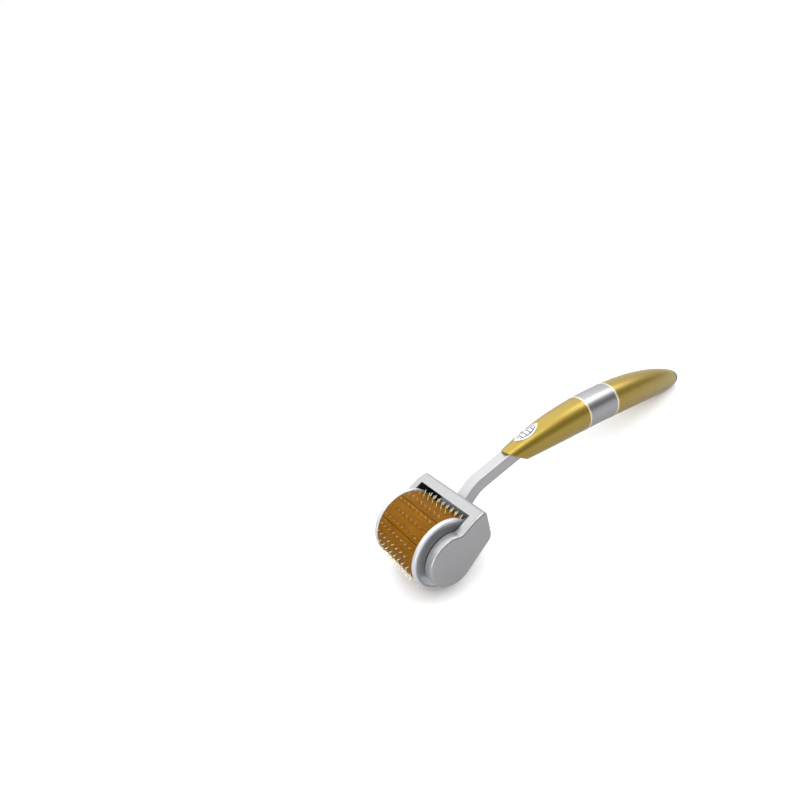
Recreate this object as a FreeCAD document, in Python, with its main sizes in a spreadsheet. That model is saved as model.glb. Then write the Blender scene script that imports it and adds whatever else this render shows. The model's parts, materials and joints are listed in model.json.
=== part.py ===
"""Derma roller: a needle wheel that spins in a flat-topped fork, on a curved neck and an oval handle.

Millimetres, +X from the wheel to the tail of the handle, +Y along the wheel's axle, +Z up.
The roller stands as it lies on a table, on its needle tips and the underside of its tail, and the origin
is the middle of that footprint's box. Heights and reaches in the sheet are counted from the axle.
"""

import FreeCAD, Part
import math
import os

import Sketcher
from FreeCAD import Placement, Rotation, Vector

doc = FreeCAD.newDocument("derma_roller")
PARTS = "parts"

DIMENSIONS = {
    # wheel
    "tip_radius": 13.8,
    "drum_radius": 12.1,
    "hub_bore_clearance": 0.5,
    "core_radius": 9.4,
    "drum_width": 20.2,
    "flange_radius": 12.5,
    "flange_thickness": 1.7,
    "flange_round": 0.8,
    "flange_bore": 3.4,
    "segment_seam": 0.24,
    "wheel_turn": 5,
    "needle_base_radius": 0.2,
    "needle_tip_radius": 0.04,
    "needle_root": 0.9,
    "needle_pitch": 2.3,
    # axle and its bearings
    "axle_radius": 1.5,
    "axle_length": 29.4,
    "running_clearance": 0.05,
    "bush_radius": 3.0,
    "bush_length": 4,
    "washer_radius": 3.6,
    "washer_thickness": 0.4,
    # fork
    "fork_width": 32,
    "fork_gap": 24.8,
    "lobe_radius": 9.0,
    "fork_reach": 16.2,
    "fork_back_height": 10.2,
    "bend_reach": 11.3,
    "bend_height": 9.7,
    "notch_reach": 4.6,
    "notch_height": 7.5,
    "under_angle": 29,
    "well_radius": 14.7,
    "fork_edge_round": 1.2,
    "notch_round": 2.2,
    "back_round": 2.0,
    "heel_round": 3.2,
    "bend_round": 12,
    # neck
    "neck_width": 4.6,
    "neck_half_height": 2.85,
    "neck_start": 15.2,
    "neck_bend_reach": 23.9,
    "neck_bend_height": 6.1,
    "neck_end": 50,
    "neck_rise": 31.5,
    "neck_slope": 5.2,
    "neck_bend_radius": 14,
    "neck_top_round": 0.6,
    "neck_under_round": 1.7,
    # handle
    "crown_reach": 40.4,
    "crown_height": 7.82,
    "bow_radius": 294,
    "grip_flatness": 0.92,
    "band_start": 78.1,
    "band_end": 94.9,
    "ring_thickness": 0.8,
    "ring_proud": 0.12,
    "cap_start": 139,
    "rod_radius": 2.4,
    "rod_start": 60,
    "rod_end": 113,
    "mouth_reach": 43.3,
    "mouth_lean": 50,
    # badge
    "badge_reach": 51.4,
    "badge_half_length": 6.15,
    "badge_half_width": 2.3,
    "badge_depth": 1.3,
    "badge_headroom": 2,
    "badge_tilt": 6.5,
    "badge_rim": 0.55,
    "badge_rim_proud": 0.32,
    "badge_inlay_proud": 0.14,
}

# The handle's outline: reach from the axle, and half its height there.
GRIP_OUTLINE = (
    (36.0, 3.1),
    (45.0, 4.4),
    (54.0, 5.5),
    (66.0, 6.5),
    (80.0, 7.1),
    (94.0, 7.35),
    (108.0, 7.3),
    (120.0, 6.7),
    (130.0, 5.65),
    (138.0, 4.3),
    (141.4, 3.35),
    (143.4, 2.25),
    (144.3, 1.0),
)

SEGMENTS = 8
ROWS_PER_SEGMENT = 3
NEEDLES_PER_ROW = 8
BADGE_STATIONS = (1, 5)  # the handle's stations that the badge lies between
BLOCK_WIDTH = 60.0  # well over the handle's width
BLOCK_DEPTH = 240.0  # well over the handle's length
DRAWN_RADIUS = 5.0  # a circle's size before its constraint sets it
TOUCH = 0.01  # how near two places are to be the same one
NEAR = 0.4  # how near an edge lies to the corner that it is picked by


def fill_sheet(values):
    """Puts every driving dimension in a cell of its own, with the dimension's name as its alias."""
    made = doc.addObject("Spreadsheet::Sheet", "Dimensions")
    cells = {}
    for row, (alias, number) in enumerate(values.items(), start=1):
        made.set(f"A{row}", alias)
        made.set(f"B{row}", str(number))
        made.setAlias(f"B{row}", alias)
    for index, (reach, half_height) in enumerate(GRIP_OUTLINE, start=1):
        row = len(values) + index
        made.set(f"A{row}", f"grip_station_{index}")
        made.set(f"B{row}", str(reach))
        made.setAlias(f"B{row}", f"grip_reach_{index}")
        made.set(f"C{row}", str(half_height))
        made.setAlias(f"C{row}", f"grip_half_height_{index}")
    doc.recompute()
    return made


sheet = fill_sheet(DIMENSIONS)


def size(alias):
    """The number in a cell."""
    return float(sheet.get(alias))


def bind(item, field, formula):
    """Ties a size to a formula of the sheet's cells, each written as its bare alias between braces."""
    item.setExpression(field, formula.replace("{", "Dimensions.").replace("}", ""))


# The lowest needles stand a little either side of straight down, so the axle is a touch under one
# tip radius above the table.
row_angle = 360 / (SEGMENTS * ROWS_PER_SEGMENT)
lowest_lean = (size("wheel_turn") + row_angle / 2) % row_angle
axle_height = size("tip_radius") * math.cos(math.radians(min(lowest_lean, row_angle - lowest_lean)))
tail_angle = math.asin((GRIP_OUTLINE[-1][0] - size("crown_reach")) / size("bow_radius"))
tail_reach = GRIP_OUTLINE[-1][0] + GRIP_OUTLINE[-1][1] * math.sin(tail_angle)
axle_x = (axle_height - tail_reach) / 2
AXLE = Vector(axle_x, 0, axle_height)
ALONG_Y = Rotation(Vector(1, 0, 0), -90)


def from_axle(x, y, z):
    return AXLE + Vector(x, y, z)


def primitive(kind, name, place, **formulas):
    """A Part primitive at a place, with its sizes bound to the sheet."""
    item = doc.addObject(f"Part::{kind}", name)
    for field, formula in formulas.items():
        bind(item, field, formula)
    item.Placement = place
    return item


def cut(name, base, *tools):
    """The base with each tool taken out of it in turn; the last cut carries the name."""
    for number, tool in enumerate(tools, start=1):
        last = number == len(tools)
        item = doc.addObject("Part::Cut", name if last else f"{name}_cut_{number}")
        item.Base = base
        item.Tool = tool
        base = item
    return base


def common(name, base, tool):
    item = doc.addObject("Part::Common", name)
    item.Base = base
    item.Tool = tool
    return item


# ---------------------------------------------------------------- sketches and bodies


def new_body(name):
    item = doc.addObject("PartDesign::Body", name)
    item.Placement = Placement(AXLE, Rotation())
    return item


def side_sketch(body, name):
    """A sketch on the body's middle plane: its x is the reach and its y the height."""
    sketch = body.newObject("Sketcher::SketchObject", name)
    plane = next(item for item in body.Origin.OriginFeatures if item.Role == "XZ_Plane")
    sketch.AttachmentSupport = (plane, [""])
    sketch.MapMode = "FlatFace"
    return sketch


def outline(sketch, corners):
    """A closed outline of straight sides, each corner given as two formulas of the sheet."""
    count = len(corners)
    for index in range(count):
        start = Vector(index, index * index, 0)
        end = Vector(index + 1, (index + 1) ** 2, 0)
        sketch.addGeometry(Part.LineSegment(start, end), False)
    for index in range(count):
        sketch.addConstraint(Sketcher.Constraint("Coincident", index, 2, (index + 1) % count, 1))
    for index, (reach, height) in enumerate(corners):
        for kind, formula in (("DistanceX", reach), ("DistanceY", height)):
            number = sketch.addConstraint(Sketcher.Constraint(kind, -1, 1, index, 1, float(index + 1)))
            bind(sketch, f"Constraints[{number}]", formula)


def circle(sketch, radius):
    """A circle round the axle."""
    sketch.addGeometry(Part.Circle(Vector(0, 0, 0), Vector(0, 0, 1), DRAWN_RADIUS), False)
    sketch.addConstraint(Sketcher.Constraint("Coincident", 0, 3, -1, 1))
    number = sketch.addConstraint(Sketcher.Constraint("Radius", 0, DRAWN_RADIUS))
    bind(sketch, f"Constraints[{number}]", radius)


def both_ways(body, kind, name, sketch, width):
    """A pad or pocket that runs the same distance to each side of the middle plane."""
    item = body.newObject(f"PartDesign::{kind}", name)
    item.Profile = sketch
    item.SideType = "Symmetric"
    bind(item, "Length", width)
    doc.recompute()
    return item


def round_edges(body, name, base, radius, wanted):
    """A fillet on the edges of the base that pass the test."""
    names = [f"Edge{i}" for i, edge in enumerate(base.Shape.Edges, start=1) if wanted(edge)]
    if not names:
        raise RuntimeError(f"{name}: no edge to round")
    item = body.newObject("PartDesign::Fillet", name)
    item.Base = (base, names)
    bind(item, "Radius", radius)
    doc.recompute()
    return item


def crosswise_at(reach, height, slack=NEAR):
    """Picks straight edges that run across the roller through one point of its side view."""

    def wanted(edge):
        box = edge.BoundBox
        flat = box.XLength < TOUCH and box.ZLength < TOUCH and box.YLength > TOUCH
        near = abs(box.Center.x - reach) < slack and abs(box.Center.z - height) < slack
        return flat and near

    return wanted


# ---------------------------------------------------------------- wheel


def ring(name, outer, inner, length, start_y):
    """A plain ring round the axle that starts at a distance along Y."""
    place = Placement(from_axle(0, start_y, 0), ALONG_Y)
    outside = primitive("Cylinder", f"{name}_outside", place, Radius=outer, Height=length)
    inside = primitive("Cylinder", f"{name}_inside", place, Radius=inner, Height=length)
    return cut(name, outside, inside)


def drum_core():
    """The moulded hub under the amber segments, bored for the axle and counterbored for its bushes."""
    half = size("drum_width") / 2
    place = Placement(from_axle(0, -half, 0), ALONG_Y)
    blank = primitive("Cylinder", "hub_blank", place, Radius="{core_radius}", Height="{drum_width}")
    bore_radius = "{axle_radius} + {hub_bore_clearance}"
    bore = primitive("Cylinder", "hub_bore", place, Radius=bore_radius, Height="{drum_width}")
    seats = []
    for side, start in (("left", half - size("bush_length")), ("right", -half)):
        seat = Placement(from_axle(0, start, 0), ALONG_Y)
        seats.append(
            primitive("Cylinder", f"{side}_bush_seat", seat, Radius="{bush_radius}", Height="{bush_length}")
        )
    return cut("drum_core", blank, bore, *seats)


def turned(angle):
    """A turn about the axle, from straight ahead (-X) up over the top."""
    return Rotation(Vector(0, 1, 0), angle)


def drum_segment(number):
    """One of the curved amber strips that cover the hub, a thin seam short of its share of the turn."""
    share = 360 / SEGMENTS
    seam = math.degrees(size("segment_seam") / size("drum_radius"))
    start = size("wheel_turn") + share * (number - 1) + seam / 2
    centre = from_axle(0, -size("drum_width") / 2, 0)
    # a cylinder's sweep starts at its local +X, which half a turn aims straight ahead
    turn = turned(180 + start).multiply(ALONG_Y)
    place = Placement(centre, turn)
    name = f"drum_segment_{number}"
    seam_formula = "{segment_seam} / {drum_radius} * 180 / pi"
    wedge = primitive(
        "Cylinder",
        f"{name}_wedge",
        place,
        Radius="{drum_radius}",
        Height="{drum_width}",
        Angle=f"{share} - {seam_formula}",
    )
    hub = primitive(
        "Cylinder", f"{name}_hub", Placement(centre, ALONG_Y), Radius="{core_radius}", Height="{drum_width}"
    )
    return cut(name, wedge, hub)


def needle_group(number):
    """The needles that stand on one segment: rows along the axle, the middle row set half a pitch over.

    A quarter pitch one way for the outer rows and the other way for the middle row keeps them centred.
    """
    needles = []
    share = 360 / SEGMENTS
    root_radius = size("drum_radius") - size("needle_root")
    for row in range(ROWS_PER_SEGMENT):
        angle = size("wheel_turn") + share * (number - 1) + row_angle * (row + 0.5)
        outward = turned(angle).multVec(Vector(-1, 0, 0))
        aim = Rotation(Vector(0, 0, 1), outward)
        shift = size("needle_pitch") / 4 * (1 if row % 2 else -1)
        for place_in_row in range(NEEDLES_PER_ROW):
            offset = size("needle_pitch") * (place_in_row - (NEEDLES_PER_ROW - 1) / 2) + shift
            foot = from_axle(0, offset, 0) + outward * root_radius
            needles.append(
                primitive(
                    "Cone",
                    f"needle_{number}_{row + 1}_{place_in_row + 1}",
                    Placement(foot, aim),
                    Radius1="{needle_base_radius}",
                    Radius2="{needle_tip_radius}",
                    Height="{tip_radius} - {drum_radius} + {needle_root}",
                )
            )
    group = doc.addObject("Part::Compound", f"needles_{number}")
    group.Links = needles
    return group


def flange(side, sign):
    """A cheek disc of the wheel, with its rim rounded on both faces."""
    half = size("drum_width") / 2
    start = half if sign > 0 else -half - size("flange_thickness")
    plain = ring(
        f"{side}_flange_disc", "{flange_radius}", "{flange_bore}", "{flange_thickness}", start
    )
    doc.recompute()
    item = doc.addObject("Part::Fillet", f"{side}_flange")
    item.Base = plain
    radius = size("flange_round")
    rim = size("flange_radius")
    item.Edges = [
        (index, radius, radius)
        for index, edge in enumerate(plain.Shape.Edges, start=1)
        if edge.BoundBox.XLength > 2 * rim - TOUCH
    ]
    return item


def axle_pin():
    place = Placement(from_axle(0, -size("axle_length") / 2, 0), ALONG_Y)
    return primitive("Cylinder", "axle_pin", place, Radius="{axle_radius}", Height="{axle_length}")


def bearings():
    """A bush in each end of the hub, and a washer on each arm of the fork that keeps the wheel off it."""
    half = size("drum_width") / 2
    bore = "{axle_radius} + {running_clearance}"
    made = []
    for side, start in (("left", half - size("bush_length")), ("right", -half)):
        made.append(ring(f"{side}_hub_bush", "{bush_radius}", bore, "{bush_length}", start))
    arm = size("fork_gap") / 2
    for side, start in (("left", arm - size("washer_thickness")), ("right", -arm)):
        made.append(
            ring(f"{side}_thrust_washer", "{washer_radius}", bore, "{washer_thickness}", start)
        )
    return made


# ---------------------------------------------------------------- fork and neck


def neck():
    """The curved stem: a flat-topped bar that climbs out of the fork's back and runs into the handle."""
    body = new_body("neck")
    sketch = side_sketch(body, "neck_side")
    rise, slope, half = "{neck_rise}", "{neck_slope}", "{neck_half_height}"
    middle = f"({rise} / 2 + {slope} / 2)"
    # the bend's corner, moved out and in along the line that halves the angle between the two runs
    shift = f"{half} / cos(({rise} - {slope}) / 2 * 1deg)"
    corners = []
    for sign, order in (("+", 1), ("-", -1)):
        run = [
            (
                "{neck_start}",
                f"{{neck_bend_height}} - ({{neck_bend_reach}} - {{neck_start}}) * tan({rise} * 1deg)"
                f" {sign} {half} / cos({rise} * 1deg)",
            ),
            (
                f"{{neck_bend_reach}} - ({sign}1) * {shift} * sin({middle} * 1deg)",
                f"{{neck_bend_height}} {sign} {shift} * cos({middle} * 1deg)",
            ),
            (
                "{neck_end}",
                f"{{neck_bend_height}} + ({{neck_end}} - {{neck_bend_reach}}) * tan({slope} * 1deg)"
                f" {sign} {half} / cos({slope} * 1deg)",
            ),
        ]
        corners.extend(run[::order])
    outline(sketch, corners)
    bar = both_ways(body, "Pad", "neck_bar", sketch, "{neck_width}")
    bend = (size("neck_bend_reach"), size("neck_bend_height"))
    lean = math.radians((size("neck_rise") + size("neck_slope")) / 2)
    out = size("neck_half_height")
    upper = crosswise_at(bend[0] - out * math.sin(lean), bend[1] + out * math.cos(lean))
    lower = crosswise_at(bend[0] + out * math.sin(lean), bend[1] - out * math.cos(lean))
    bar = round_edges(body, "upper_bend", bar, "{neck_bend_radius} + {neck_half_height}", upper)
    bar = round_edges(body, "lower_bend", bar, "{neck_bend_radius} - {neck_half_height}", lower)

    def along(above):
        """Picks the long edges of the bar's top, or of its underside, by the centre line's height there."""

        def wanted(edge):
            box = edge.BoundBox
            past_bend = box.Center.x - bend[0]
            on_side = box.YLength < TOUCH and box.XLength > NEAR
            climb = size("neck_rise") if past_bend < -size("neck_half_height") else size("neck_slope")
            line = bend[1] + past_bend * math.tan(math.radians(climb))
            return on_side and (box.Center.z > line - NEAR) == above

        return wanted

    bar = round_edges(body, "top_edges", bar, "{neck_top_round}", along(True))
    round_edges(body, "under_edges", bar, "{neck_under_round}", along(False))
    return body


def fork_frame(stem):
    """The one-piece fork: two side arms that end in round lobes, joined behind the wheel by a crossbar."""
    body = new_body("fork_blank")
    arm = side_sketch(body, "arm_side")
    under = "{under_angle} * 1deg"
    inside = "-{lobe_radius} / 9"
    outline(
        arm,
        [
            ("{notch_reach}", "{notch_height}"),
            ("{bend_reach}", "{bend_height}"),
            ("{fork_reach}", "{fork_back_height}"),
            ("{fork_reach}", f"{{fork_reach}} * tan({under}) - {{lobe_radius}} / cos({under})"),
            (f"{{lobe_radius}} * sin({under})", f"-{{lobe_radius}} * cos({under})"),
            # the last corner only has to lie inside the lobe
            (inside, inside),
        ],
    )
    solid = both_ways(body, "Pad", "arm_block", arm, "{fork_width}")
    lobe = side_sketch(body, "lobe_side")
    circle(lobe, "{lobe_radius}")
    solid = both_ways(body, "Pad", "lobe_block", lobe, "{fork_width}")
    reach, back = size("fork_reach"), size("fork_back_height")
    angle = math.radians(size("under_angle"))
    heel = reach * math.tan(angle) - size("lobe_radius") / math.cos(angle)
    solid = round_edges(body, "back_corner", solid, "{back_round}", crosswise_at(reach, back))
    solid = round_edges(body, "heel_corner", solid, "{heel_round}", crosswise_at(reach, heel))
    bend = crosswise_at(size("bend_reach"), size("bend_height"))
    solid = round_edges(body, "shoulder_bend", solid, "{bend_round}", bend)
    notch = crosswise_at(size("notch_reach"), size("notch_height"), 2.5 * NEAR)
    solid = round_edges(body, "notch_corner", solid, "{notch_round}", notch)
    side = size("fork_width") / 2

    def rim(edge):
        box = edge.BoundBox
        return box.YLength < TOUCH and abs(abs(box.Center.y) - side) < TOUCH

    solid = round_edges(body, "outer_rims", solid, "{fork_edge_round}", rim)
    whole = solid.Shape.Volume
    well = side_sketch(body, "well_side")
    circle(well, "{well_radius}")
    solid = both_ways(body, "Pocket", "wheel_well", well, "{fork_gap}")
    holes = side_sketch(body, "axle_side")
    circle(holes, "{axle_radius}")
    bored = both_ways(body, "Pocket", "axle_holes", holes, "{axle_length}")
    if not whole > solid.Shape.Volume > bored.Shape.Volume:
        raise RuntimeError("the fork's well or its axle holes cut nothing")
    return cut("fork_frame", body, stem)


# ---------------------------------------------------------------- handle


def bow(reach):
    """The handle's centre line is one long arc; gives its point and downward slope at a reach."""
    radius = size("bow_radius")
    angle = math.asin((reach - size("crown_reach")) / radius)
    height = size("crown_height") - radius * (1 - math.cos(angle))
    return from_axle(reach, 0, height), math.degrees(angle)


def across(reach):
    """A placement on the centre line whose local Z runs along the handle and local X points up."""
    point, angle = bow(reach)
    return Placement(point, Rotation(Vector(0, 1, 0), angle).multiply(Rotation(Vector(1, 0, 1), 180)))


def oval(name, reach, half_height, proud="0"):
    """One cross-section of the handle: an ellipse a little taller than wide."""
    return primitive(
        "Ellipse",
        name,
        across(reach),
        MajorRadius=f"{half_height} + {proud}",
        MinorRadius=f"{half_height} * {{grip_flatness}} + {proud}",
    )


def loft(name, sections):
    item = doc.addObject("Part::Loft", name)
    item.Sections = sections
    item.Solid = True
    return item


def grip_form(name, first, last, proud="0"):
    """The handle's outer form between two stations of its outline."""
    ovals = [
        oval(
            f"{name}_oval_{index}",
            size(f"grip_reach_{index}"),
            f"{{grip_half_height_{index}}}",
            proud,
        )
        for index in range(first, last + 1)
    ]
    return loft(name, ovals)


def half_height_at(reach):
    """Half the handle's height at any reach, in a straight line between its stations."""
    for (near, low), (far, high) in zip(GRIP_OUTLINE, GRIP_OUTLINE[1:]):
        if near <= reach <= far:
            return low + (high - low) * (reach - near) / (far - near)
    raise RuntimeError(f"no handle at {reach}")


def block(name, place, ahead):
    """A block wider than the handle, from a plane across it to well beyond, ahead or behind."""
    shift = Vector(-BLOCK_WIDTH / 2, -BLOCK_WIDTH / 2, -BLOCK_DEPTH if ahead else 0)
    item = doc.addObject("Part::Box", name)
    item.Length = BLOCK_WIDTH
    item.Width = BLOCK_WIDTH
    item.Height = BLOCK_DEPTH
    item.Placement = place.multiply(Placement(shift, Rotation()))
    return item


def handle_rod():
    """The straight steel rod that holds the handle's pieces in line."""
    start, end = bow(size("rod_start"))[0], bow(size("rod_end"))[0]
    aim = Rotation(Vector(0, 0, 1), end - start)
    item = primitive("Cylinder", "handle_rod", Placement(start, aim), Radius="{rod_radius}")
    item.Height = (end - start).Length
    return item


def lens(name, shrink):
    """A pointed oval prism that stands across the handle's top, where two round discs overlap."""
    point, angle = bow(size("badge_reach"))
    half = half_height_at(size("badge_reach"))
    tilt = Rotation(Vector(0, 1, 0), angle - size("badge_tilt"))
    floor = half - size("badge_depth")
    radius = (
        "({badge_half_length} * {badge_half_length} + {badge_half_width} * {badge_half_width})"
        f" / (2 * {{badge_half_width}}) - {shrink}"
    )
    length, width = size("badge_half_length"), size("badge_half_width")
    offset = (length**2 + width**2) / (2 * width) - width
    discs = [
        primitive(
            "Cylinder",
            f"{name}_{side}_disc",
            Placement(point + tilt.multVec(Vector(0, sign * offset, floor)), tilt),
            Radius=radius,
            Height="{badge_depth} + {badge_headroom}",
        )
        for side, sign in (("left", 1), ("right", -1))
    ]
    return common(name, *discs)


def trim_ring(name, reach, rod):
    """A thin raised disc between the band and a gold shell."""
    half = half_height_at(reach)
    ovals = [
        oval(f"{name}_{end}", spot, f"{half}", "{ring_proud}")
        for end, spot in (("front", reach), ("back", reach + size("ring_thickness")))
    ]
    return cut(name, loft(f"{name}_disc", ovals), rod)


def handle(stem):
    """Front shell, band with its two trim rings, rear shell, end cap, the rod inside and the badge."""
    count = len(GRIP_OUTLINE)
    rod = handle_rod()
    thin = size("ring_thickness")
    start, end, cap = size("band_start"), size("band_end"), size("cap_start")
    form = grip_form("grip_form", 1, count)
    behind = {
        name: block(f"behind_{name}", across(reach), False)
        for name, reach in (("front", start), ("band", end - thin), ("rear", cap))
    }
    ahead = {
        name: block(f"ahead_of_{name}", across(reach), True)
        for name, reach in (("band", start + thin), ("rear", end), ("cap", cap))
    }
    point, angle = bow(size("mouth_reach"))
    lean = Rotation(Vector(0, 1, 0), angle - size("mouth_lean"))
    mouth_place = Placement(point, lean.multiply(Rotation(Vector(1, 0, 1), 180)))
    mouth = block("ahead_of_mouth", mouth_place, True)
    outer_lens = lens("badge_seat", "0")
    inner_lens = lens("badge_window", "{badge_rim}")
    made = [
        rod,
        cut("handle_front_shell", form, behind["front"], mouth, stem, rod, outer_lens),
        trim_ring("front_trim_ring", start, rod),
        cut("handle_band", form, ahead["band"], behind["band"], rod),
        trim_ring("rear_trim_ring", end - thin, rod),
        cut("handle_rear_shell", form, ahead["rear"], behind["rear"], rod),
        cut("end_cap", form, ahead["cap"]),
    ]
    rim_form = grip_form("badge_rim_form", *BADGE_STATIONS, "{badge_rim_proud}")
    inlay_form = grip_form("badge_inlay_form", *BADGE_STATIONS, "{badge_inlay_proud}")
    made.append(common("badge_bezel", cut("badge_rim_outline", outer_lens, inner_lens), rim_form))
    made.append(common("badge_inlay", inner_lens, inlay_form))
    return made


# ---------------------------------------------------------------- build, check, write


def check(items):
    """Stops on any failed object, and on any sub-part without a sound solid."""
    for item in doc.Objects:
        if "Invalid" in item.State or "Error" in item.State:
            raise RuntimeError(f"{item.Label} failed: {item.State}")
    for item in items:
        shape = item.Shape
        if shape.isNull() or not shape.isValid() or not shape.Solids:
            raise RuntimeError(f"{item.Label} has no sound shape")


def write(items):
    os.makedirs(PARTS, exist_ok=True)
    for item in items:
        item.Shape.exportStep(f"{PARTS}/{item.Label}.step")
        box = item.Shape.BoundBox
        print(
            f"{item.Label:22s} solids {len(item.Shape.Solids):3d}  volume {item.Shape.Volume:9.2f}  "
            f"x {box.XMin:7.2f} {box.XMax:7.2f}  y {box.YMin:7.2f} {box.YMax:7.2f}  "
            f"z {box.ZMin:7.2f} {box.ZMax:7.2f}"
        )


def main():
    stem = neck()
    pieces = [stem, fork_frame(stem), axle_pin(), drum_core()]
    pieces += bearings()
    pieces += [flange("left", 1), flange("right", -1)]
    pieces += [drum_segment(number) for number in range(1, SEGMENTS + 1)]
    pieces += [needle_group(number) for number in range(1, SEGMENTS + 1)]
    pieces += handle(stem)
    doc.recompute()
    check(pieces)
    write(pieces)


main()
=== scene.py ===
import json
import math

import bmesh
import bpy
from mathutils import Matrix, Vector
from mathutils.bvhtree import BVHTree


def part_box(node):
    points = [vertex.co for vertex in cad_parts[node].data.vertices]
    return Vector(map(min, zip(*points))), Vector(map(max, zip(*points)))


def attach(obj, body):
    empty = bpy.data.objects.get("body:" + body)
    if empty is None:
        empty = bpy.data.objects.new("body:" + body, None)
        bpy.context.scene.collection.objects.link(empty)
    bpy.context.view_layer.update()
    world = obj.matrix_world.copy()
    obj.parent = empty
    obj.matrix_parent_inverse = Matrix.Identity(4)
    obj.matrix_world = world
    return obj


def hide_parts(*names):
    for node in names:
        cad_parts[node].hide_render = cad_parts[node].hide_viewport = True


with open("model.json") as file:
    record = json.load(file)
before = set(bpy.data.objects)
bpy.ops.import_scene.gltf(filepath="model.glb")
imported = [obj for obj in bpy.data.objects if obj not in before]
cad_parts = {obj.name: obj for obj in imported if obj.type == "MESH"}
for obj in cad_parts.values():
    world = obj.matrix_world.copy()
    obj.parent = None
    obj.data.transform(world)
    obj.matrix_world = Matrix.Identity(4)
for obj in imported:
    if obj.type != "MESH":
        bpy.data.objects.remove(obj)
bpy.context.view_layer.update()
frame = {"nodes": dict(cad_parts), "record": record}

MM = 0.001
nodes = frame["nodes"]


def middle(node):
    """The middle of a node's box."""
    low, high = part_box(node)
    return (low + high) / 2


AXLE = middle("axle_pin")
RADIAL = Vector((1, 0, 1))          # keeps what lies across the axle
NEEDLES = [f"needles_{k}" for k in range(1, 9)]


# ---------------------------------------------------------------- materials

class Finish:
    """A procedural material built up from a Principled shader."""

    def __init__(self, name, **sockets):
        self.material = bpy.data.materials.new(name)
        self.material.use_nodes = True
        self.tree = self.material.node_tree
        self.shader = self.tree.nodes["Principled BSDF"]
        for socket, value in sockets.items():
            self.shader.inputs[socket.replace("_", " ")].default_value = value
        self.place = self.tree.nodes.new("ShaderNodeTexCoord").outputs["Object"]

    def node(self, kind, **settings):
        made = self.tree.nodes.new(kind)
        for key, value in settings.items():
            if hasattr(made, key):
                setattr(made, key, value)
            else:
                made.inputs[key.replace("_", " ")].default_value = value
        return made

    def link(self, source, target):
        self.tree.links.new(source, target)

    def stretched(self, scale):
        """The place, squeezed by a factor along each axis."""
        mapping = self.node("ShaderNodeMapping", Scale=scale)
        self.link(self.place, mapping.inputs["Vector"])
        return mapping.outputs["Vector"]

    def noise(self, size, detail=3.0, stretch=None):
        """Noise with features of about that size, in metres."""
        made = self.node("ShaderNodeTexNoise", Scale=1 / size, Detail=detail)
        self.link(self.stretched(stretch) if stretch else self.place, made.inputs["Vector"])
        return made.outputs["Fac"]

    def flakes(self, size):
        """A random number for each small cell, as metal flakes in paint have."""
        made = self.node("ShaderNodeTexVoronoi", Scale=1 / size)
        self.link(self.place, made.inputs["Vector"])
        split = self.node("ShaderNodeSeparateColor")
        self.link(made.outputs["Color"], split.inputs["Color"])
        return split.outputs["Red"]

    def spread(self, source, low, high, start=0.3, end=0.7):
        """source's range from start to end, put over low to high."""
        made = self.node("ShaderNodeMapRange")
        for socket, value in zip(("From Min", "From Max", "To Min", "To Max"), (start, end, low, high)):
            made.inputs[socket].default_value = value
        self.link(source, made.inputs["Value"])
        return made.outputs["Result"]

    def tints(self, source, first, second):
        """Two colours mixed by source."""
        made = self.node("ShaderNodeMix", data_type="RGBA")
        made.inputs[6].default_value = (*first, 1)
        made.inputs[7].default_value = (*second, 1)
        self.link(source, made.inputs[0])
        return made.outputs[2]

    def colour(self, source):
        self.link(source, self.shader.inputs["Base Color"])

    def rough(self, source, low, high):
        self.link(self.spread(source, low, high), self.shader.inputs["Roughness"])

    def bumps(self, *layers):
        """Surface relief: pairs of a height source and its depth in metres."""
        normal = None
        for source, depth in layers:
            made = self.node("ShaderNodeBump", Strength=1.0, Distance=depth)
            self.link(source, made.inputs["Height"])
            if normal:
                self.link(normal, made.inputs["Normal"])
            normal = made.outputs["Normal"]
        self.link(normal, self.shader.inputs["Normal"])


LACQUER_ROUGHNESS = 0.25
FLAKE = 0.12 * MM


def paint(name, dark, light, metallic, low, high, coat=0.0):
    """Metallic paint on moulded plastic: fine flakes, a soft tone drift and a faint orange peel."""
    made = Finish(name, Metallic=metallic, Coat_Weight=coat, Coat_Roughness=LACQUER_ROUGHNESS)
    drift = made.noise(6 * MM, 2.0)
    flake = made.flakes(FLAKE)
    middle_tone = tuple((a + b) / 2 for a, b in zip(dark, light))
    base = made.tints(made.spread(drift, 0.0, 1.0), dark, middle_tone)
    fine = made.tints(made.spread(flake, 0.0, 1.0, 0.0, 1.0), middle_tone, light)
    both = made.node("ShaderNodeMix", data_type="RGBA")
    both.inputs[0].default_value = 0.5
    made.link(base, both.inputs[6])
    made.link(fine, both.inputs[7])
    made.colour(both.outputs[2])
    made.rough(made.noise(4 * MM), low, high)
    made.bumps((made.noise(1.2 * MM, 1.0), 0.002 * MM))
    return made.material


def metal(name, dark, light, low, high, stretch, size=0.2 * MM):
    """Bare or plated metal with fine lines or a fine grain."""
    made = Finish(name, Metallic=1.0)
    grain = made.noise(size, 4.0, stretch)
    made.colour(made.tints(made.spread(grain, 0.0, 1.0), dark, light))
    made.rough(grain, low, high)
    made.bumps((grain, 0.001 * MM))
    return made.material


def plastic(name, dark, light, low, high, size=1.2 * MM, **sockets):
    """Moulded plastic with a slow cloudiness and a fine skin."""
    made = Finish(name, **sockets)
    cloud = made.noise(size, 3.0)
    made.colour(made.tints(made.spread(cloud, 0.0, 1.0), dark, light))
    made.rough(made.noise(0.5 * MM), low, high)
    made.bumps((made.noise(0.25 * MM, 2.0), 0.004 * MM))
    return made.material


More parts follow.
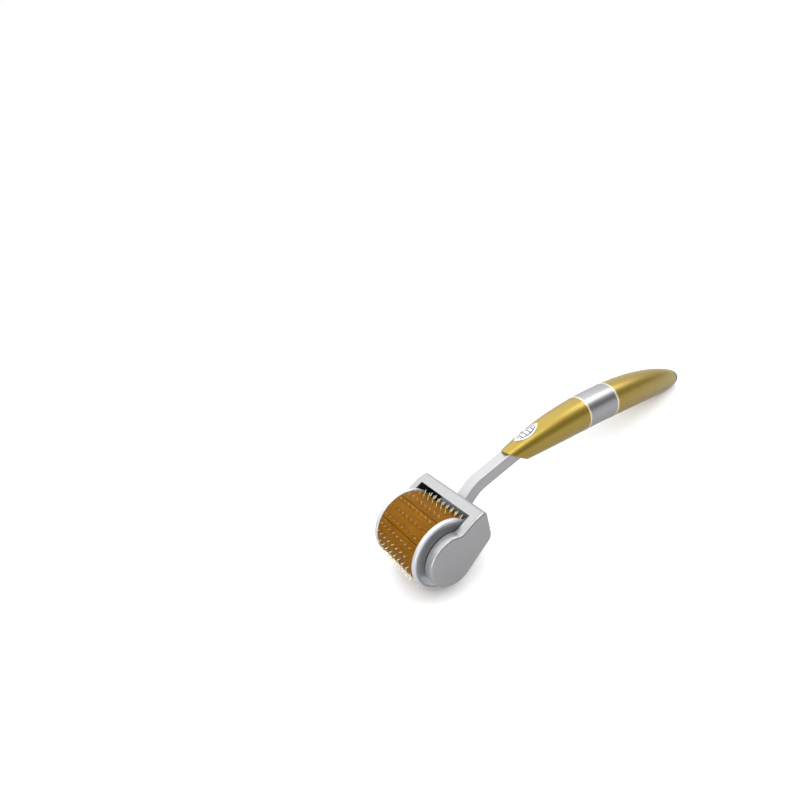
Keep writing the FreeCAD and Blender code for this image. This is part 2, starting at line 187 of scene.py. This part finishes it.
def grained(name, dark, light, low, high, **sockets):
    """Moulded plastic whose flow lines run the width of the drum, with a slow cloudiness."""
    made = Finish(name, **sockets)
    streak = made.noise(0.5 * MM, 3.0, (1, 0.06, 1))
    cloud = made.noise(3 * MM, 2.0)
    both = made.node("ShaderNodeMath", operation="ADD")
    made.link(made.spread(streak, 0.0, 0.7), both.inputs[0])
    made.link(made.spread(cloud, 0.0, 0.3), both.inputs[1])
    made.colour(made.tints(both.outputs[0], dark, light))
    made.rough(streak, low, high)
    made.bumps((streak, 0.006 * MM), (made.noise(0.25 * MM, 2.0), 0.003 * MM))
    return made.material


WELL_ROOM = 2.25 * MM               # from the flange's rim to the well's wall
SHADE_STRIP_REACH = 0.4 * MM               # how far up the arm's inner face, past the wheel's gap, the painted shade reaches
# near-black painted shade for the wheel's well and the dark gap line beside the cheeks
PAINTED_SHADE_COLOUR = (0.02, 0.02, 0.021, 1)


def fork_paint_with_painted_shade(*settings):
    """The silver paint with painted shade: the wheel's well and a strip up the arms' inner faces are painted
    near black, standing in for their shadow.
    """
    material = paint(*settings)
    tree = material.node_tree
    shader = tree.nodes["Principled BSDF"]
    low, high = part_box("left_flange")
    half_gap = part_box("left_thrust_washer")[1].y
    well = (high.x - low.x) / 2 + WELL_ROOM
    place = tree.nodes.new("ShaderNodeTexCoord").outputs["Object"]

    def maths(operation, source, value):
        made = tree.nodes.new("ShaderNodeMath")
        made.operation = operation
        tree.links.new(source, made.inputs[0])
        if isinstance(value, float):
            made.inputs[1].default_value = value
        else:
            tree.links.new(value, made.inputs[1])
        return made.outputs[0]

    spoke = tree.nodes.new("ShaderNodeVectorMath")
    spoke.operation = "DISTANCE"
    flat = tree.nodes.new("ShaderNodeVectorMath")
    flat.operation = "MULTIPLY"
    flat.inputs[1].default_value = RADIAL
    tree.links.new(place, flat.inputs[0])
    tree.links.new(flat.outputs["Vector"], spoke.inputs[0])
    spoke.inputs[1].default_value = AXLE * RADIAL
    split = tree.nodes.new("ShaderNodeSeparateXYZ")
    tree.links.new(place, split.inputs[0])
    sideways = maths("ABSOLUTE", split.outputs["Y"], 0.0)
    in_shade = maths("MULTIPLY", maths("LESS_THAN", spoke.outputs["Value"], well),
                   maths("LESS_THAN", sideways, half_gap + SHADE_STRIP_REACH))
    # painted shade: the paint's colour gives way to near black in the well and along the gap strip
    shade_mix = tree.nodes.new("ShaderNodeMix")
    shade_mix.data_type = "RGBA"
    shade_mix.inputs[7].default_value = PAINTED_SHADE_COLOUR
    tree.links.new(shader.inputs["Base Color"].links[0].from_socket, shade_mix.inputs[6])
    tree.links.new(in_shade, shade_mix.inputs[0])
    tree.links.new(shade_mix.outputs[2], shader.inputs["Base Color"])
    return material


FINISHES = {
    "silver_paint": fork_paint_with_painted_shade("silver_paint", (0.358, 0.358, 0.365), (0.40, 0.40, 0.405), 0.6, 0.25, 0.265,
                               0.4),
    "neck_silver": paint("neck_silver", (0.43, 0.43, 0.437), (0.46, 0.46, 0.465), 0.62, 0.24, 0.25, 0.4),
    "flange_silver": paint("flange_silver", (0.62, 0.635, 0.665), (0.68, 0.69, 0.71), 0.5, 0.24, 0.25, 0.4),
    "gold_paint": paint("gold_paint", (0.33, 0.221, 0.024), (0.425, 0.304, 0.042), 0.7, 0.32, 0.34, 0.4),
    "trim_gold": paint("trim_gold", (0.80, 0.72, 0.46), (0.90, 0.84, 0.62), 0.5, 0.24, 0.26),
    "band_silver": metal("band_silver", (0.41, 0.41, 0.42), (0.46, 0.46, 0.47), 0.34, 0.37, (1, 0.05, 0.05),
                         0.12 * MM),
    "cap_silver": paint("cap_silver", (0.10, 0.115, 0.10), (0.15, 0.165, 0.15), 0.5, 0.34, 0.36),
    "badge_chrome": metal("badge_chrome", (0.66, 0.66, 0.68), (0.74, 0.74, 0.76), 0.14, 0.18, (1, 1, 1)),
    "enamel": plastic("enamel", (0.03, 0.03, 0.032), (0.05, 0.05, 0.052), 0.3, 0.4),
    "amber_plastic": grained("amber_plastic", (0.155, 0.056, 0.0003), (0.24, 0.10, 0.001), 0.42, 0.5,
                             Specular_IOR_Level=0.08),
    "needle_gold": metal("needle_gold", (0.92, 0.82, 0.50), (1.0, 0.94, 0.70), 0.28, 0.32, (1, 1, 1),
                         0.3 * MM),
    "steel": metal("steel", (0.50, 0.50, 0.52), (0.66, 0.66, 0.68), 0.24, 0.28, (1, 0.05, 1)),
    "nylon": plastic("nylon", (0.74, 0.73, 0.70), (0.84, 0.83, 0.80), 0.45, 0.5, Subsurface_Weight=0.2,
                     Subsurface_Scale=0.001),
}

SLOTS = {part["node"]: part["material_slot"] for part in frame["record"]["subparts"]}


def dress(obj, slot):
    """Gives a piece one finish all over."""
    obj.data.materials.clear()
    obj.data.materials.append(FINISHES[slot])
    for polygon in obj.data.polygons:
        polygon.material_index = 0


for name, obj in nodes.items():
    dress(obj, SLOTS[name])


# ---------------------------------------------------------------- pieces

def piece(name, mesh, body, slot, *replaced, extra=None):
    """A finished piece of the object from a bmesh. Faces with material index 1 take the extra finish."""
    data = bpy.data.meshes.new(name)
    bmesh.ops.recalc_face_normals(mesh, faces=mesh.faces)
    mesh.to_mesh(data)
    mesh.free()
    obj = bpy.data.objects.new(name, data)
    bpy.context.scene.collection.objects.link(obj)
    data.shade_smooth()
    data.set_sharp_from_angle(angle=math.radians(40))
    data.materials.append(FINISHES[slot])
    if extra:
        data.materials.append(FINISHES[extra])
    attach(obj, body)
    if replaced:
        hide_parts(*replaced)


def lathe(mesh, centre, axis, profile, sides, closed=False):
    """A turned form: profile is (radius, height) along the axis, from pole to pole, or closed into a ring."""
    axis = Vector(axis).normalized()
    across = axis.orthogonal().normalized()
    third = axis.cross(across)
    rings = []
    for radius, height in profile:
        if radius == 0:
            rings.append([mesh.verts.new(centre + axis * height)])
            continue
        turns = [2 * math.pi * k / sides for k in range(sides)]
        rings.append([mesh.verts.new(centre + axis * height
                                     + (across * math.cos(t) + third * math.sin(t)) * radius) for t in turns])
    for one, two in zip(rings, rings[1:] + rings[:1] if closed else rings[1:]):
        for k in range(sides):
            n = (k + 1) % sides
            if len(one) == 1:
                mesh.faces.new((one[0], two[k], two[n]))
            elif len(two) == 1:
                mesh.faces.new((one[k], one[n], two[0]))
            else:
                mesh.faces.new((one[k], one[n], two[n], two[k]))


def distances(node):
    """How far each vertex of a node lies from the axle."""
    return [((v.co - AXLE) * RADIAL).length for v in nodes[node].data.vertices]


TIP_DEPTH = 0.02 * MM               # vertices this close to the furthest one are a needle's tip
NEEDLE_SPACE = 0.3 * MM             # tips closer than this belong to one needle


def needle_feet(node):
    """Where each needle of a group leaves the drum: a point on the axle and the outward direction."""
    reach = distances(node)
    top = max(reach)
    found = []
    for vertex, out in zip(nodes[node].data.vertices, reach):
        if out < top - TIP_DEPTH:
            continue
        spoke = (vertex.co - AXLE) * RADIAL
        start = Vector((AXLE.x, vertex.co.y, AXLE.z))
        if all((start + spoke - a - b * out).length > NEEDLE_SPACE for a, b in found):
            found.append((start, spoke.normalized()))
    return found


DRUM = max(distances("drum_segment_1"))
NEEDLE_SIDES, COLLAR_SIDES, CHEEK_SIDES = 10, 14, 160
# Turned profiles: radius and height above the drum, in millimetres.
COLLAR = [(0.0, -0.12), (0.46, -0.12), (0.46, -0.01), (0.40, 0.045), (0.32, 0.06), (0.26, 0.02),
          (0.22, -0.05), (0.0, -0.05)]
NEEDLE = [(0.0, -0.3), (0.17, -0.3), (0.17, 0.9), (0.155, 1.15), (0.12, 1.4), (0.07, 1.6),
          (0.03, 1.68), (0.0, 1.7)]


def in_metres(profile):
    return [(radius * MM, height * MM) for radius, height in profile]


def turned_pieces():
    """Each needle with its pointed shank and the moulded collar that it stands in."""
    for k, node in enumerate(NEEDLES, 1):
        shanks, collars = bmesh.new(), bmesh.new()
        for foot, spoke in needle_feet(node):
            start = foot + spoke * DRUM
            lathe(shanks, start, spoke, in_metres(NEEDLE), NEEDLE_SIDES)
            lathe(collars, start, spoke, in_metres(COLLAR), COLLAR_SIDES)
        piece(f"needle_shanks_{k}", shanks, "wheel", "needle_gold", node)
        piece(f"needle_collars_{k}", collars, "wheel", "amber_plastic")


turned_pieces()

# Radius, and height outwards from the drum's end, in millimetres.
CHEEK = [(3.4, 0.0), (12.0, 0.0), (12.3, 0.08), (12.45, 0.25), (12.5, 0.45), (12.5, 1.1), (12.42, 1.4),
         (12.22, 1.62), (11.95, 1.7), (11.6, 1.67), (11.35, 1.54), (11.2, 1.34), (11.0, 1.14), (10.6, 0.92),
         (9.8, 0.64), (9.0, 0.48), (8.0, 0.4), (4.2, 0.4), (3.9, 0.5), (3.9, 1.1), (3.7, 1.2), (3.4, 1.2)]


def cheeks():
    """The wheel's two cheek discs: a rounded bead round a slightly sunk face."""
    for side, out in (("left", 1), ("right", -1)):
        low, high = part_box(f"{side}_flange")
        start = Vector((AXLE.x, low.y if out > 0 else high.y, AXLE.z))
        mesh = bmesh.new()
        lathe(mesh, start, (0, out, 0), in_metres(CHEEK), CHEEK_SIDES, closed=True)
        piece(f"{side}_cheek", mesh, "wheel", "flange_silver", f"{side}_flange")


cheeks()


GROOVE, GROOVE_DEPTH = 0.25 * MM, 0.18 * MM     # half width and depth
GROOVE_WALL = 1.6                   # how steeply a groove falls to its flat floor
BORDER_INSET = 0.34 * MM            # from the lens's edge to the border line
BORDER_REACH, RIB_REACH = 4.3 * MM, 3.6 * MM    # how far from the middle the lines and grooves run
RIB_PITCH = 1.8 * MM
LENS_SQUARES = (200, 80)            # along and across
LENS_LENGTH, LENS_WIDTH = 0.995, 0.98           # share of the inlay that the lens covers
LENS_FOOT = 0.2 * MM                # the lens's flat underside, above the inlay's
ENAMEL_FROM = 1.6                   # sum over a square's corners from which it is enamelled
ABOVE = 5 * MM                      # where the rays that find the inlay's top start


def medallion():
    """The badge's middle: a plated lens with plain crosswise grooves between two border lines."""
    low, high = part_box("badge_inlay")
    centre, half = (low + high) / 2, (high - low) / 2
    data = nodes["badge_inlay"].data
    tree = BVHTree.FromPolygons([v.co for v in data.vertices], [p.vertices[:] for p in data.polygons])
    radius = (half.x ** 2 + half.y ** 2) / (2 * half.y)
    long, wide = LENS_SQUARES
    mesh = bmesh.new()
    top, floor, sunk = [], [], []
    for i in range(long + 1):
        x = (i / long * 2 - 1) * half.x * LENS_LENGTH
        edge = math.sqrt(radius ** 2 - x ** 2) - (radius - half.y)
        row, under, deep = [], [], []
        for j in range(wide + 1):
            y = (j / wide * 2 - 1) * edge
            hit = tree.ray_cast(Vector((centre.x + x, y * LENS_WIDTH, high.z + ABOVE)), Vector((0, 0, -1)))[0]
            height = hit.z if hit else tree.find_nearest(Vector((centre.x + x, y, high.z)))[0].z
            border = abs(abs(y) - (edge - BORDER_INSET))
            within = abs(y) < edge - BORDER_INSET and abs(x) < RIB_REACH
            rib = abs(x % RIB_PITCH - RIB_PITCH / 2)
            near = border if abs(x) < BORDER_REACH else GROOVE
            near = min(near, rib) if within else near
            cutting = min(1.0, GROOVE_WALL * max(0.0, 1 - near / GROOVE))
            row.append(mesh.verts.new((centre.x + x, y, height - GROOVE_DEPTH * cutting)))
            under.append(mesh.verts.new((centre.x + x, y, low.z + LENS_FOOT)))
            deep.append(cutting)
        top.append(row)
        floor.append(under)
        sunk.append(deep)
    for i in range(long):
        for j in range(wide):
            corners = [(i, j), (i + 1, j), (i + 1, j + 1), (i, j + 1)]
            face = mesh.faces.new([top[a][b] for a, b in corners])
            face.material_index = int(sum(sunk[a][b] for a, b in corners) > ENAMEL_FROM)
            mesh.faces.new((floor[i][j], floor[i][j + 1], floor[i + 1][j + 1], floor[i + 1][j]))
    for i in range(long):
        for j in (0, wide):
            mesh.faces.new((top[i][j], floor[i][j], floor[i + 1][j], top[i + 1][j]))
    for j in range(wide):
        for i in (0, long):
            mesh.faces.new((top[i][j], top[i][j + 1], floor[i][j + 1], floor[i][j]))
    piece("badge_medallion", mesh, "holder", "badge_chrome", "badge_inlay", extra="enamel")


medallion()


# ---------------------------------------------------------------- camera, floor and light

SENSOR, LENS = 36, 22.5
AZIMUTH, ELEVATION, ROLL = math.radians(-26.8), math.radians(29.13), math.radians(16.0)
BACK, LEFT, RISE = 167.53 * MM, 8.15 * MM, 45.83 * MM


def camera():
    data = bpy.data.cameras.new("camera")
    data.sensor_width, data.lens = SENSOR, LENS
    data.clip_start, data.clip_end = 0.005, 50
    obj = bpy.data.objects.new("camera", data)
    bpy.context.scene.collection.objects.link(obj)
    back = Vector((math.sin(AZIMUTH) * math.cos(ELEVATION), -math.cos(AZIMUTH) * math.cos(ELEVATION),
                   math.sin(ELEVATION)))
    right = (-back).cross(Vector((0, 0, 1))).normalized()
    up = back.cross(right)
    right, up = (right * math.cos(ROLL) - up * math.sin(ROLL),
                 up * math.cos(ROLL) + right * math.sin(ROLL))
    place = AXLE + back * BACK - right * LEFT + up * RISE
    obj.matrix_world = Matrix((right, up, back)).transposed().to_4x4()
    obj.location = place
    bpy.context.scene.camera = obj


camera()


FLOOR_RADIUS = 30
FLOOR_GAP = 0.02 * MM
BOUNCE = (0.53, 0.53, 0.53, 1)      # what the floor throws back on the object
PAPER = (0.985, 0.985, 0.985), (0.995, 0.995, 0.995)


def floor():
    """A wide pale floor. Seen from below it is clear, so that the underside shows."""
    mesh = bmesh.new()
    bmesh.ops.create_circle(mesh, cap_ends=True, segments=96, radius=FLOOR_RADIUS)
    data = bpy.data.meshes.new("floor")
    mesh.to_mesh(data)
    mesh.free()
    obj = bpy.data.objects.new("floor", data)
    obj.location.z = -FLOOR_GAP
    bpy.context.scene.collection.objects.link(obj)
    made = Finish("floor_paper", Roughness=0.9, Specular_IOR_Level=0.1)
    paper = made.tints(made.spread(made.noise(0.3), 0.0, 1.0), *PAPER)
    bounce = made.node("ShaderNodeMix", data_type="RGBA")
    bounce.inputs[6].default_value = BOUNCE
    made.link(made.node("ShaderNodeLightPath").outputs["Is Camera Ray"], bounce.inputs[0])
    made.link(paper, bounce.inputs[7])
    made.colour(bounce.outputs[2])
    clear = made.node("ShaderNodeBsdfTransparent")
    mix = made.node("ShaderNodeMixShader")
    made.link(made.node("ShaderNodeNewGeometry").outputs["Backfacing"], mix.inputs[0])
    made.link(made.shader.outputs[0], mix.inputs[1])
    made.link(clear.outputs[0], mix.inputs[2])
    made.link(mix.outputs[0], made.tree.nodes["Material Output"].inputs["Surface"])
    data.materials.append(made.material)


floor()


# Softboxes round the object: azimuth, elevation and half width in degrees, then brightness.
PANELS = (
    (165, 68, 45, 0.62),
    (76, 36, 12, 3.4),
    (32, 54, 11, 3.4),
    (-8, 52, 11, 2.8),
    (-42, 42, 11, 3.6),
    (-62, 24, 11, 4.2),
    (-74, 4, 11, 4.2),
)
PANEL_EDGE = 3.0                    # degrees over which a softbox fades out, each way
SKY_UP = (0.1, 0.55, 0.82)          # towards the bright part of the studio
SKY_DIM = 0.0, (0.08, 0.08, 0.085, 1)
SKY_BRIGHT = 0.75, (1.2, 1.21, 1.23, 1)
BACKDROP = (1, 1, 1, 1)


def sky():
    """A studio: soft light from overhead and behind, dim at the front horizon, and round softboxes."""
    world = bpy.data.worlds.new("studio")
    bpy.context.scene.world = world
    world.use_nodes = True
    tree = world.node_tree
    tree.nodes.clear()
    place = tree.nodes.new("ShaderNodeTexCoord").outputs["Generated"]

    def along(direction):
        facing = tree.nodes.new("ShaderNodeVectorMath")
        facing.operation = "DOT_PRODUCT"
        facing.inputs[1].default_value = direction
        tree.links.new(place, facing.inputs[0])
        return facing.outputs["Value"]

    ramp = tree.nodes.new("ShaderNodeValToRGB")
    stops = ramp.color_ramp.elements
    stops[0].position, stops[0].color = SKY_DIM
    stops[1].position, stops[1].color = SKY_BRIGHT
    tree.links.new(along(SKY_UP), ramp.inputs["Fac"])
    total = ramp.outputs["Color"]
    for azimuth, elevation, half_width, strength in PANELS:
        a, e = math.radians(azimuth), math.radians(elevation)
        spot = along((math.sin(a) * math.cos(e), -math.cos(a) * math.cos(e), math.sin(e)))
        panel = tree.nodes.new("ShaderNodeMapRange")
        panel.interpolation_type = "SMOOTHSTEP"
        panel.inputs["From Min"].default_value = math.cos(math.radians(half_width + PANEL_EDGE))
        panel.inputs["From Max"].default_value = math.cos(math.radians(half_width - PANEL_EDGE))
        panel.inputs["To Max"].default_value = strength
        tree.links.new(spot, panel.inputs["Value"])
        add = tree.nodes.new("ShaderNodeVectorMath")
        add.operation = "ADD"
        tree.links.new(total, add.inputs[0])
        tree.links.new(panel.outputs["Result"], add.inputs[1])
        total = add.outputs["Vector"]
    light = tree.nodes.new("ShaderNodeBackground")
    tree.links.new(total, light.inputs["Color"])
    backdrop = tree.nodes.new("ShaderNodeBackground")
    backdrop.inputs["Color"].default_value = BACKDROP
    mix = tree.nodes.new("ShaderNodeMixShader")
    tree.links.new(tree.nodes.new("ShaderNodeLightPath").outputs["Is Camera Ray"], mix.inputs[0])
    tree.links.new(light.outputs[0], mix.inputs[1])
    tree.links.new(backdrop.outputs[0], mix.inputs[2])
    out = tree.nodes.new("ShaderNodeOutputWorld")
    tree.links.new(mix.outputs[0], out.inputs["Surface"])


sky()
bpy.context.scene.view_settings.view_transform = "Standard"
